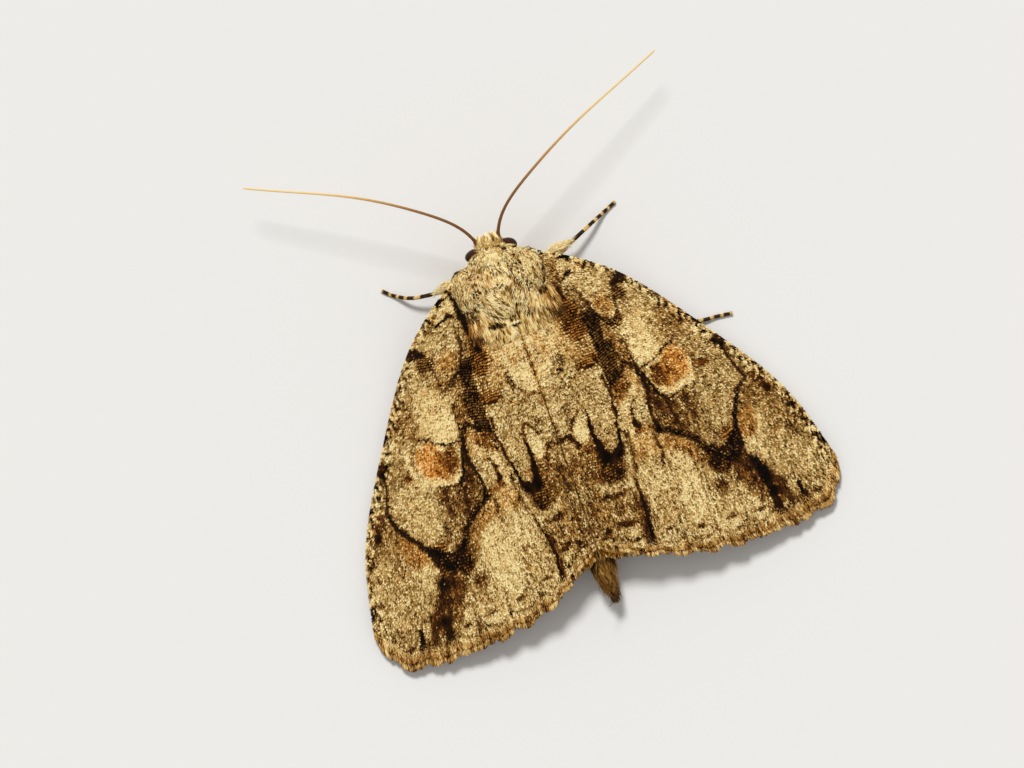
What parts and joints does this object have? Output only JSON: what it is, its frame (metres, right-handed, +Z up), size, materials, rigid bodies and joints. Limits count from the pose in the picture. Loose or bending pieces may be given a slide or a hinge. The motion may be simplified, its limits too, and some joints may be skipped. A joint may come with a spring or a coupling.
{
  "type": "underwing moth",
  "caption": "Resting moth, its mottled grey-brown forewings closed over its back in a broad triangle, with long fine antennae spread forwards and banded legs.",
  "frame": {"origin": "middle of the model's box at floor level, under the feet", "axes": "+Z up, the head towards -Y, the moth's left side at +X"},
  "size_m": [0.0522, 0.0538, 0.0089],
  "materials": {
    "body_hair": "matt grey-brown hair scales with a golden tan centre",
    "forewing_scales": "matt overlapping scales, cream and grey-brown with black lines and rusty patches",
    "hindwing_scales": "matt scales, yellow-orange with black bands",
    "eyes": "glossy dark brown",
    "antennae": "brown at the base, straw coloured towards the tip",
    "proboscis": "smooth brown",
    "legs": "cream and dark brown bands"
  },
  "bodies": {
    "root": {"thorax": "body_hair", "collar": "body_hair", "head": "body_hair", "left_tegula": "body_hair", "right_tegula": "body_hair", "abdomen": "body_hair", "left_eye": "eyes", "right_eye": "eyes", "left_forewing": "forewing_scales", "right_forewing": "forewing_scales", "left_hindwing": "hindwing_scales", "right_hindwing": "hindwing_scales", "left_antenna": "antennae", "right_antenna": "antennae", "left_palp": "body_hair", "right_palp": "body_hair", "proboscis": "proboscis", "left_fore_femur": "legs", "left_fore_tibia": "legs", "left_fore_tarsus": "legs", "right_fore_femur": "legs", "right_fore_tibia": "legs", "right_fore_tarsus": "legs", "left_mid_femur": "legs", "left_mid_tibia": "legs", "left_mid_tarsus": "legs", "right_mid_femur": "legs", "right_mid_tibia": "legs", "right_mid_tarsus": "legs", "left_hind_femur": "legs", "left_hind_tibia": "legs", "left_hind_tarsus": "legs", "right_hind_femur": "legs", "right_hind_tibia": "legs", "right_hind_tarsus": "legs"}
  },
  "joints": []
}
